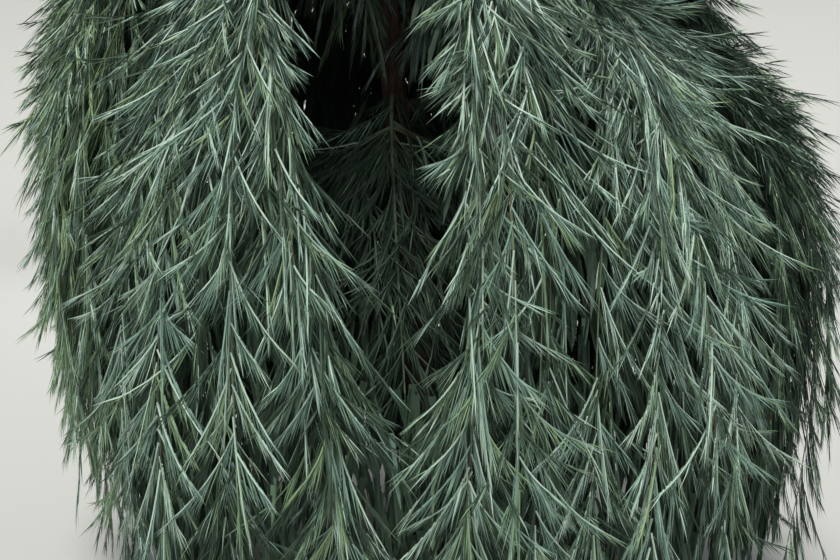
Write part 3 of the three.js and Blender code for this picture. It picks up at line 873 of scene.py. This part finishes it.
def path_of(curtain, axis, rings=PATH_RINGS):
    return curtain_point(curtain, *axis.place(np.linspace(0, 1, rings)))


def length_of(curtain, axis):
    return np.linalg.norm(np.diff(path_of(curtain, axis), axis=0), axis=1).sum()


def branches_of(rng, curtain):
    """The stem, and the branches that leave it and hang side by side down to the hem, the outer
    ones from higher up. A second layer of them hangs in the shade behind the first."""
    made = [Axis(0, STEM_END, 0, 0, STEM_INSET, 0)]
    count = curtain.tier.branches
    inner = curtain.tier in TIERS["inner"]
    outer_start = INNER_START if inner else OUTER_START
    for i in range(2 * count - 1):
        shaded = i % 2
        spread = lerp(-BRANCH_SPREAD, BRANCH_SPREAD, i / (2 * count - 2))
        spread += rng.uniform(-SPREAD_JITTER, SPREAD_JITTER)
        if shaded or abs(spread) > STEM_SHARE:
            start = lerp(MIDDLE_START, outer_start, min(1, abs(spread))) + rng.uniform(0, START_JITTER)
            inset = rng.uniform(*(SHADED_INSETS if shaded else LIT_INSETS))
            inset += 0 if shaded else EDGE_INSET * spread**2
            wander = rng.uniform(-WANDER, WANDER)
            branch = Axis(start, rng.uniform(*BRANCH_ENDS), 0, spread, STEM_INSET, inset, wander)
            made.append(branch if inner else drawn_back(curtain, branch))
    return made


def drawn_back(curtain, branch):
    """The branch itself, or one nearer to the stem that keeps out of the dark gap."""
    while within(GAP, path_of(curtain, branch)).mean() > MOST_IN_GAP:
        branch = branch._replace(end_across=branch.end_across * DRAWN_BACK)
    return branch


def branch_sprays(rng, curtain, branch, settings):
    """The sprays along one branch: most leave it left and right in turn and some forwards. They
    start down along it and turn away from it. The last one ends it."""
    count = max(3, round(length_of(curtain, branch) / settings.spray_spacing))
    share = lerp(*SPRAY_SHARES, np.arange(1, count + 1) / count)
    t, across, inset = branch.place(share)
    root = curtain_point(curtain, t, across, inset)
    before = curtain_point(curtain, *branch.place(share - STEP_BACK))
    along = unit(root - before)
    face = curtain_face(curtain, t, across)
    face = unit(face - along * (face * along).sum(-1, keepdims=True))
    side = np.where(np.arange(count) % 2, 1.0, -1.0)[:, None]
    shape = (count, 1)
    forwards = rng.random(shape) < FORWARD_SHARE
    lift = np.where(forwards, rng.uniform(*FORWARD_LIFTS, shape), rng.uniform(*SIDE_LIFTS, shape))
    lift = np.radians(lift)
    sideways = np.cross(face, along) * side * np.cos(lift) + face * np.sin(lift)
    angle = np.radians(rng.uniform(*SPRAY_ANGLES, shape) * np.where(forwards, FORWARD_ANGLE, 1))
    turned = angle + np.radians(rng.uniform(*SPRAY_TURNS, shape) * np.where(forwards, FORWARD_TURN, 1))
    angle[-1] = turned[-1] = 0
    way = along * np.cos(angle) + sideways * np.sin(angle)
    fall = along * np.cos(turned) + sideways * np.sin(turned)
    return {
        "root": root,
        "way": way,
        "fall": unit(fall + rng.uniform(0, SPRAY_DROOP, shape) * DOWN),
        "face": face,
        "length": settings.spray_length * rng.uniform(*SPRAY_LENGTHS, count),
        "depth": inset * np.ones(count),
    }


def lining_sprays(rng, curtain, settings):
    """Sprays scattered evenly behind a curtain, where the foliage is dense and shaded. Lying deep, most of
    them get the dark tint of painted shade.
    """
    count = round(curtain.tier.lining * length_of(curtain, Axis(0, 1, 0, 0, 0, 0)))
    order = np.arange(count)
    t = lerp(*LINING_SHARES, ((order + rng.random(count)) / count) ** LINING_CROWDING)
    across = lerp(-LINING_SPREAD, LINING_SPREAD, (order * GOLDEN) % 1)
    inset = rng.uniform(*LINING_DEPTHS, count)
    root = curtain_point(curtain, t, across, inset)
    along = unit(root - curtain_point(curtain, t - STEP_BACK / 2, across, inset))
    face = curtain_face(curtain, t, across)
    way = unit(along + rng.uniform(-LINING_SLANT, LINING_SLANT, (count, 1)) * np.cross(face, along))
    sprays = {
        "root": root,
        "way": way,
        "fall": unit(way + LINING_FALL * DOWN),
        "face": face,
        "length": settings.spray_length * np.ones(count),
        "depth": inset,
    }
    return some_of(sprays, ~within(OPEN_GAP, root, GAP_MARGIN))


def bough_sprays(rng, curtain, settings):
    """Shaded sprays that hang from the curtain's bough."""
    foot, tip = bough_path(curtain, CURTAINS.index(curtain))
    share = rng.uniform(*BOUGH_SHARES, (BOUGH_SPRAYS, 1))
    rise = np.sin(np.pi / 2 * share)
    out = outward(rng.uniform(0, 360, BOUGH_SPRAYS))
    way = unit(out + rng.uniform(*BOUGH_DROOP, share.shape) * DOWN)
    return {
        "root": np.concatenate([lerp(foot[:2], tip[:2], share), lerp(foot[2], tip[2], rise)], axis=1),
        "way": way,
        "fall": unit(way + BOUGH_FALL * DOWN),
        "face": unit(out + FACE_LIFT * UP),
        "length": settings.spray_length * rng.uniform(*BOUGH_LENGTHS, BOUGH_SPRAYS),
        "depth": np.full(BOUGH_SPRAYS, DARK_FROM),
    }


def deal_tints(rng, depth, weights):
    """A tint for each spray, from some weights: the deeper it lies, the likelier it gets the dark tint of
    painted shade.
    """
    count = len(depth)
    tints = rng.choice(len(TINTS), size=count, p=np.array(weights) / sum(weights))
    dark = rng.random(count) < smoothstep(depth, DARK_FROM, DARK_TO)
    return np.where(dark, TINTS.index("painted_shade"), tints)


def within(gap, points, spare=0):
    """Whether each of some points lies in a gap, made wider on either side by some degrees."""
    bearing = np.degrees(np.arctan2(points[..., 0], -points[..., 1]))
    up = points[..., 2]
    height, left, right = np.array(gap).T
    past_left = bearing >= np.interp(up, height, left) - spare
    past_right = bearing > np.interp(up, height, right) + spare
    return past_left & ~past_right & (up > height[0]) & (up < height[-1])


def hang_down(sprays, which):
    """Turns some of the sprays downwards."""
    for key in ("way", "fall"):
        sprays[key][which] = unit(sprays[key][which] + HANG_WEIGHT * DOWN)


def reach_into(gap, sprays, spare):
    """Which of the sprays lie in a gap anywhere along them."""
    along, _ = spray_axis(sprays, SPRAY_REACH)
    return within(gap, along, spare).any(axis=1)


def clear_of_gaps(rng, sprays):
    """Shortens the sprays that would reach too far into the dark gap, lets them hang down where
    that isn't enough, and leaves out those that are in it all the same, or in the hollow."""
    spare = rng.normal(-EDGE_REACH, GAP_ROUGHNESS, (len(sprays["root"]), 1))
    for _ in range(SHORTENINGS):
        sprays["length"][reach_into(GAP, sprays, spare)] *= SHORTENED
    hang_down(sprays, reach_into(GAP, sprays, spare))
    hidden = reach_into(GAP, sprays, spare) | reach_into(HOLLOW, sprays, spare + EDGE_REACH)
    return some_of(sprays, ~hidden)


def keep_in_reach(sprays):
    """Lets the sprays that would stand out too far from the frame's box hang down."""
    low, high = (np.array(corner) for corner in FRAME_BOX)
    along, _ = spray_axis(sprays, TIP_REACH)
    outside = (along < low - SPARE_REACH) | (along > high + SPARE_REACH)
    hang_down(sprays, outside[..., :2].any(axis=(1, 2)))


def below(rng, sprays):
    """The sprays that start lower than a height that comes and goes."""
    return some_of(sprays, sprays["root"][:, 2] < rng.uniform(*INNER_TOPS, len(sprays["root"])))


# How often each tint is dealt to a curtain's sprays, in the order of TINTS. The last is painted shade, which
# the darker right side and the inner curtains get most of
WEIGHTS = {
    "skirt_far_left": (3, 7, 1.5, 5.5, 0.6),
    "skirt_left_side": (5, 5, 1, 2, 3),
    "skirt_right_outer": (7, 2, 3, 0.5, 2),
    "skirt_right_side": (2, 2, 0.2, 0.1, 16),
    "inner_front": (1.5, 4, 0.2, 0.5, 8),
    "inner_rear": (1, 2, 0, 0, 6),
}
USUAL_WEIGHTS = (7, 3.5, 1.3, 0.6, 3)


def grow_curtain(curtain, settings):
    """Makes a curtain's foliage as one object, and returns its branches."""
    rng = np.random.default_rng(curtain.seed)
    branches = branches_of(rng, curtain)
    parts = [branch_sprays(rng, curtain, branch, settings) for branch in branches]
    parts.append(bough_sprays(rng, curtain, settings))
    sprays = {key: np.concatenate([part[key] for part in parts]) for key in parts[0]}
    lining = lining_sprays(rng, curtain, settings)
    inner = curtain.tier in TIERS["inner"]
    if inner:
        sprays = below(rng, sprays)
        lining = below(rng, lining) if curtain.tier is INNER else lining
        # Painted shade inside the crown: the lower an inner spray hangs, the likelier its tint is dark, by a
        # depth set from its height
        sprays["depth"] = DARK_TO * smoothstep(sprays["root"][:, 2], *INNER_LIGHT)
    else:
        sprays = clear_of_gaps(rng, sprays)
    for some in (sprays, lining):
        keep_in_reach(some)
        some["tint"] = deal_tints(rng, some["depth"], WEIGHTS.get(curtain.name, USUAL_WEIGHTS))
    shaded = sprays["depth"] > SHADED_FROM
    made = [
        *comb(rng, some_of(sprays, ~shaded), curtain.tier.threads, settings),
        *comb(rng, some_of(sprays, shaded), round(SHADED_SHARE * curtain.tier.threads), settings),
        threads_of(rng, lining, LINING_THREADS, LINING_LENGTH, LINING_WIDTH),
    ]
    foliage = foliage_piece(curtain.name + "_sprays", made, tint_materials(settings))
    finish_piece(foliage, [curtain.name])
    return branches


def twig_tubes(curtain, axes, rings, root, tip, sides):
    share = np.linspace(0, 1, rings)
    paths = np.stack([path_of(curtain, axis, rings) for axis in axes])
    return tubes(paths, np.broadcast_to(lerp(root, tip, share), paths.shape[:2]), sides)


def grow_tier(context, title):
    """All curtains of a tier, with their stems and branches."""
    points = []
    corners = []
    total = 0
    for curtain in CURTAINS:
        if curtain.tier in TIERS[title]:
            branches = grow_curtain(curtain, context.scene.cypress_foliage)
            made = [
                twig_tubes(curtain, branches[:1], *STEM_TUBE),
                twig_tubes(curtain, branches[1:], *BRANCH_TUBE),
            ]
            for more_points, more_corners in made:
                points.append(more_points)
                corners.append(more_corners + total)
                total += len(more_points)
    points = np.concatenate(points)
    corners = np.concatenate(corners)
    sizes = np.full(len(corners), 4)
    material = shared("young_twig", twig_material, context.scene.cypress_bark)
    twigs = joined_mesh(title + "_twigs", points, corners.ravel(), sizes, 0 * sizes, [material])
    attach(twigs, "root")


TIERS = {
    "inner": (INNER, REAR_INNER),
    "skirt": (SKIRT, REAR_SKIRT, SLIM_SKIRT, LOW_SKIRT, WIDE_SKIRT),
    "middle": (MIDDLE, HIGH_MIDDLE),
    "upper": (UPPER,),
    "top": (TOP,),
}


class CYPRESS_OT_skirt(bpy.types.Operator):
    """Grow the long curtains that hang down to the ground"""

    bl_idname = "cypress.skirt"
    bl_label = "Skirt"

    def execute(self, context):
        grow_tier(context, "skirt")
        return {"FINISHED"}


class CYPRESS_OT_middle(bpy.types.Operator):
    """Grow the middle tier of curtains"""

    bl_idname = "cypress.middle"
    bl_label = "Middle tier"

    def execute(self, context):
        grow_tier(context, "middle")
        return {"FINISHED"}


class CYPRESS_OT_upper(bpy.types.Operator):
    """Grow the upper tier of curtains"""

    bl_idname = "cypress.upper"
    bl_label = "Upper tier"

    def execute(self, context):
        grow_tier(context, "upper")
        return {"FINISHED"}


class CYPRESS_OT_top(bpy.types.Operator):
    """Grow the small curtains below the leader, and the leader's own"""

    bl_idname = "cypress.top"
    bl_label = "Top"

    def execute(self, context):
        grow_tier(context, "top")
        self.grow_leader(context.scene.cypress_foliage)
        return {"FINISHED"}

    def grow_leader(self, settings):
        """Sprays along the leader's arch and along a tail that hangs from its tip."""
        rng = np.random.default_rng(LEADER_SEED)
        tip = trunk_centre(1.0)
        along = unit(tip - trunk_centre(1 - STEP_BACK / 2))
        arch = np.array([trunk_centre(share) for share in np.linspace(NOD_START, 1, LEADER_SPRAYS)])
        share = np.linspace(0, 1, LEADER_SPRAYS)[:, None]
        tail = tip + along * LEADER_TAIL[0] * share + DOWN * LEADER_TAIL[1] * share**2
        root = np.concatenate([arch, tail[1:]])
        count = len(root)
        along = unit(np.gradient(root, axis=0))
        out = outward(rng.uniform(0, 360, count))
        ahead, aside, down = LEADER_FALL
        sprays = {
            "root": root,
            "way": unit(along + LEADER_SPREAD * out),
            "fall": unit(ahead * along + aside * out + down * DOWN),
            "face": unit(out + FACE_LIFT * UP),
            "length": settings.spray_length * rng.uniform(*LEADER_LENGTHS, count),
            "tint": deal_tints(rng, np.zeros(count), USUAL_WEIGHTS),
        }
        keep_in_reach(sprays)
        made = comb(rng, sprays, TOP.threads, settings)
        foliage = foliage_piece("leader_sprays", made, tint_materials(settings))
        finish_piece(foliage, ["leader_curtain"])


class CYPRESS_OT_inner(bpy.types.Operator):
    """Grow the short shaded curtains round the trunk"""

    bl_idname = "cypress.inner"
    bl_label = "Inner curtains"

    def execute(self, context):
        grow_tier(context, "inner")
        return {"FINISHED"}


class CYPRESS_OT_stage(bpy.types.Operator):
    """Set the pale floor, the soft lights and the camera"""

    bl_idname = "cypress.stage"
    bl_label = "Stage"

    def execute(self, context):
        settings = context.scene.cypress_stage
        bpy.ops.object.select_all(action="DESELECT")
        floor = self.model_floor()
        floor.data.materials.append(new_material("pale_floor", settings.floor_colour, 0.9))
        world = bpy.data.worlds.new("soft_sky")
        world.use_nodes = True
        sky = world.node_tree.nodes["Background"]
        sky.inputs["Color"].default_value = (*SKY_COLOUR, 1)
        sky.inputs["Strength"].default_value = settings.sky_strength
        context.scene.world = world
        bpy.ops.object.light_add(type="SUN", location=KEY_PLACE)
        key = bpy.context.object
        key.name = "key_light"
        key.data.angle = settings.key_softness
        key.data.energy = settings.key_strength
        key.data.color = KEY_COLOUR
        key.rotation_euler = (KEY_AIM - key.location).to_track_quat("-Z", "Y").to_euler()
        self.add_fill("front_fill", -1, settings.front_fill)
        self.add_fill("rear_fill", 1, settings.rear_fill)
        camera = bpy.data.objects.new("camera", bpy.data.cameras.new("camera"))
        bpy.context.scene.collection.objects.link(camera)
        camera.data.lens = settings.lens
        camera.location = (settings.camera_aside, -settings.camera_distance, settings.camera_height)
        camera.rotation_euler = (math.radians(90) - settings.camera_pitch, 0, 0)
        context.scene.camera = camera
        context.scene.view_settings.view_transform = "Standard"
        return {"FINISHED"}

    def add_fill(self, name, side, power):
        """A faint square light that doesn't itself show, at the front for side -1, or the rear for 1."""
        bpy.ops.object.light_add(
            type="AREA", location=(0, side * FILL_DISTANCE, FILL_HEIGHT), rotation=(-side * FILL_PITCH, 0, 0)
        )
        fill = bpy.context.object
        fill.name = name
        fill.data.size = FILL_SIZE
        fill.data.energy = power
        fill.visible_camera = False

    def model_floor(self):
        """A round floor that curves up into a backdrop on all sides."""
        bpy.ops.mesh.primitive_circle_add(vertices=FLOOR_SIDES, radius=FLOOR_RADIUS, fill_type="NGON")
        floor = bpy.context.object
        floor.name = "floor"
        bpy.ops.object.mode_set(mode="EDIT")
        bpy.ops.mesh.select_mode(type="EDGE")
        bpy.ops.mesh.select_all(action="SELECT")
        bpy.ops.mesh.extrude_edges_move(TRANSFORM_OT_translate={"value": (0, 0, BACKDROP_HEIGHT)})
        bpy.ops.object.mode_set(mode="OBJECT")
        for edge in floor.data.edges:
            edge.select = all(floor.data.vertices[i].co.z < BACKDROP_HEIGHT / 2 for i in edge.vertices)
        bpy.ops.object.mode_set(mode="EDIT")
        bpy.ops.mesh.bevel(offset=FLOOR_CURVE, segments=CURVE_STEPS, affect="EDGES")
        bpy.ops.object.mode_set(mode="OBJECT")
        bpy.ops.object.shade_smooth()
        return floor


class CYPRESS_PT_panel(bpy.types.Panel):
    """All that the add-on makes"""

    bl_idname = "CYPRESS_PT_panel"
    bl_label = "Weeping Cypress"
    bl_space_type = "VIEW_3D"
    bl_region_type = "UI"
    bl_category = "Cypress"

    def draw(self, context):
        for operator in OPERATORS:
            self.layout.operator(operator.bl_idname)
        for title in GROUPS:
            group = getattr(context.scene, title)
            box = self.layout.box()
            for name in group.bl_rna.properties.keys():
                if name not in ("rna_type", "name"):
                    box.prop(group, name)


OPERATORS = (
    CYPRESS_OT_trunk,
    CYPRESS_OT_boughs,
    CYPRESS_OT_inner,
    CYPRESS_OT_skirt,
    CYPRESS_OT_middle,
    CYPRESS_OT_upper,
    CYPRESS_OT_top,
    CYPRESS_OT_stage,
)
GROUPS = {
    "cypress_bark": BarkSettings,
    "cypress_foliage": FoliageSettings,
    "cypress_stage": StageSettings,
}


def register():
    for name, group in GROUPS.items():
        bpy.utils.register_class(group)
        setattr(bpy.types.Scene, name, PointerProperty(type=group))
    for operator in OPERATORS:
        bpy.utils.register_class(operator)
    bpy.utils.register_class(CYPRESS_PT_panel)


def unregister():
    bpy.utils.unregister_class(CYPRESS_PT_panel)
    for operator in reversed(OPERATORS):
        bpy.utils.unregister_class(operator)
    for name, group in GROUPS.items():
        delattr(bpy.types.Scene, name)
        bpy.utils.unregister_class(group)


def main():
    register()
    bpy.ops.cypress.trunk()
    bpy.ops.cypress.boughs()
    bpy.ops.cypress.inner()
    bpy.ops.cypress.skirt()
    bpy.ops.cypress.middle()
    bpy.ops.cypress.upper()
    bpy.ops.cypress.top()
    bpy.ops.cypress.stage()


if __name__ == "__main__":
    main()
